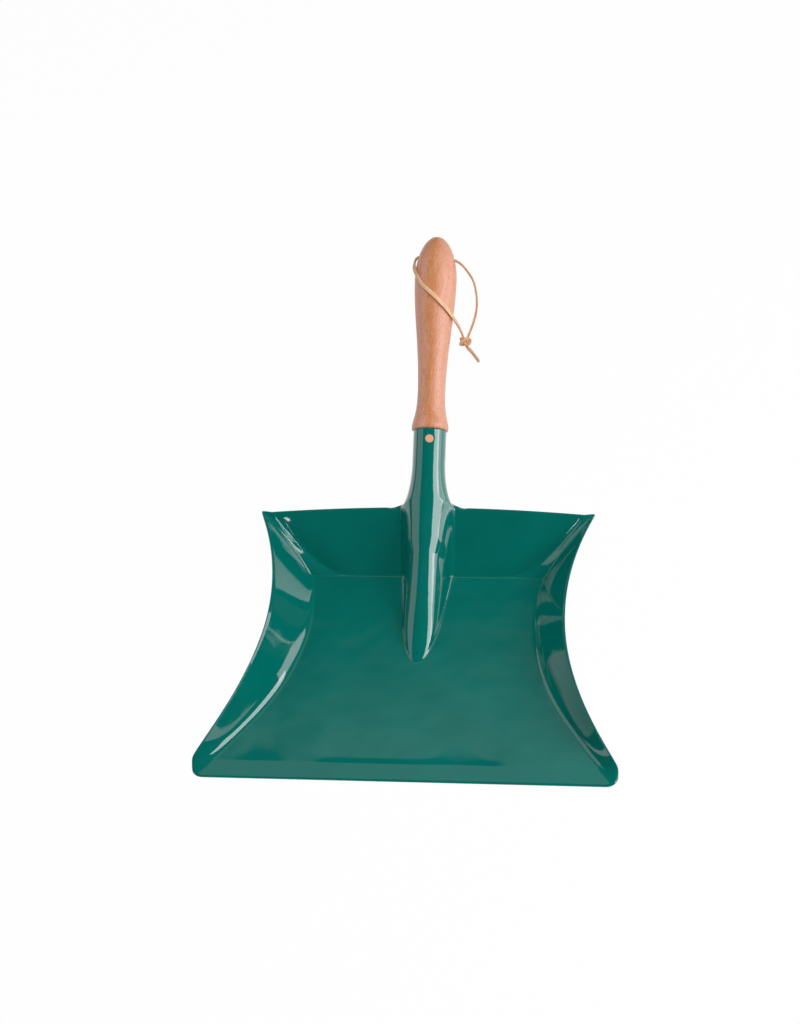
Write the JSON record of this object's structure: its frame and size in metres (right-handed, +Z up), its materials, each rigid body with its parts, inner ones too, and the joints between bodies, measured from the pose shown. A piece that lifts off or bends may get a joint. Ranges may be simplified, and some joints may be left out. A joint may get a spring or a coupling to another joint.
{
  "type": "dustpan",
  "caption": "Hand dustpan pressed from one steel sheet with a hollow ridge and rolled socket, a turned wooden handle pinned in it, and a leather hanging lace.",
  "frame": {"origin": "on the ground under the middle of the dustpan's own bounding box, without the lace", "axes": "+Z up; the pan's open mouth faces -Y and the handle rises towards +Y; +X to the right seen from the mouth"},
  "size_m": [0.287, 0.3814, 0.1333],
  "materials": {
    "green_enamel": "deep green stoved enamel, high gloss with a faint orange peel, on pressed sheet steel",
    "beech": "turned beech, pinkish tan, fine lengthwise flecks, thin satin oil",
    "pin_wood": "end grain of a small beech dowel, peach, satin",
    "tan_leather": "light tan vegetable-tanned lace, smooth grain side, darker cut edges"
  },
  "bodies": {
    "root": {"pan": "green_enamel", "handle": "beech", "pin": "pin_wood", "lace_left": "tan_leather", "lace_right": "tan_leather", "lace_knot": "tan_leather", "lace_tail": "tan_leather"}
  },
  "joints": []
}
